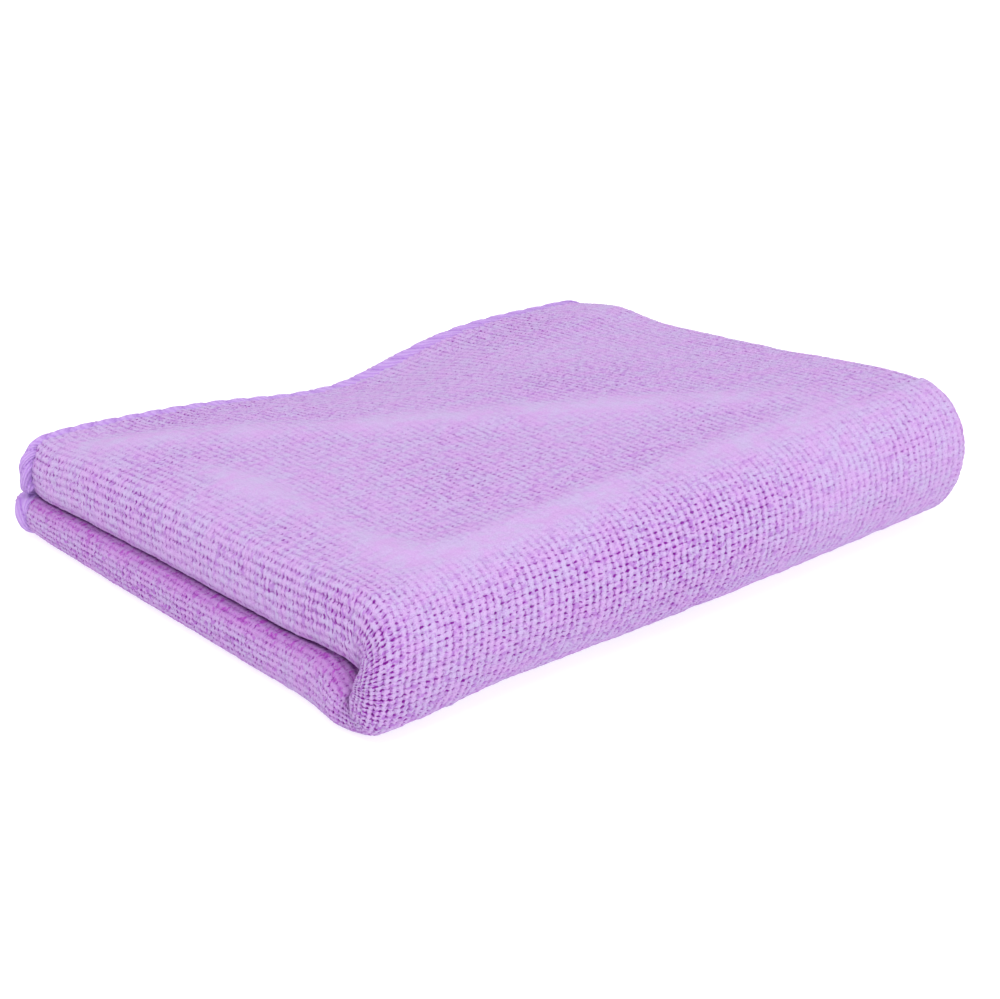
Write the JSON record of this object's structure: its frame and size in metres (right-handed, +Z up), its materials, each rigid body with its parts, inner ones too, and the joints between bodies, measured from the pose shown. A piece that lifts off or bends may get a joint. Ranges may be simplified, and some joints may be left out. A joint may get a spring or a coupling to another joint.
{
  "type": "quick dry towel",
  "caption": "Small quick dry terry towel with an overlocked edge, sides folded in and then folded in half, which opens about its front crease.",
  "frame": {"origin": "bottom centre of the folded towel's bounding box, on the surface that it lies on", "axes": "+X along the front crease, +Y from the front crease to the hems at the back, +Z up"},
  "size_m": [0.147, 0.1171, 0.026],
  "materials": {
    "terry_cloth": "matte short looped pile, lilac, with a darker tone between the loops",
    "overlock_thread": "soft bulked thread, violet blue, slight sheen"
  },
  "bodies": {
    "lower_half": {"lower_panel": "terry_cloth", "lower_left_flap": "terry_cloth", "lower_right_flap": "terry_cloth", "lower_left_flap_hem": "overlock_thread", "lower_right_flap_hem": "overlock_thread", "lower_back_hem": "overlock_thread"},
    "fold_lower": {"fold_lower_panel": "terry_cloth", "fold_lower_left_flap": "terry_cloth", "fold_lower_left_flap_hem": "overlock_thread", "fold_lower_right_flap": "terry_cloth", "fold_lower_right_flap_hem": "overlock_thread"},
    "fold_upper": {"fold_upper_panel": "terry_cloth", "fold_upper_left_flap": "terry_cloth", "fold_upper_left_flap_hem": "overlock_thread", "fold_upper_right_flap": "terry_cloth", "fold_upper_right_flap_hem": "overlock_thread"},
    "upper_half": {"upper_panel": "terry_cloth", "upper_left_flap": "terry_cloth", "upper_right_flap": "terry_cloth", "upper_left_flap_hem": "overlock_thread", "upper_right_flap_hem": "overlock_thread", "upper_back_hem": "overlock_thread"}
  },
  "joints": [
    {"name": "crease_low", "type": "hinge", "parent": "lower_half", "child": "fold_lower", "pos_m": [0, -0.05217, 0.00184], "axis": [1, 0, 0], "range_deg": [0, 61.73]},
    {"name": "crease_mid", "type": "hinge", "parent": "fold_lower", "child": "fold_upper", "pos_m": [0, -0.05849, 0.01359], "axis": [1, 0, 0], "range_deg": [0, 61.73]},
    {"name": "crease_high", "type": "hinge", "parent": "fold_upper", "child": "upper_half", "pos_m": [0, -0.05113, 0.02472], "axis": [1, 0, 0], "range_deg": [0, 61.73]}
  ],
  "couplings": [
    {"joint": "crease_low", "follows": "crease_high", "ratio": 1},
    {"joint": "crease_mid", "follows": "crease_high", "ratio": 1}
  ]
}
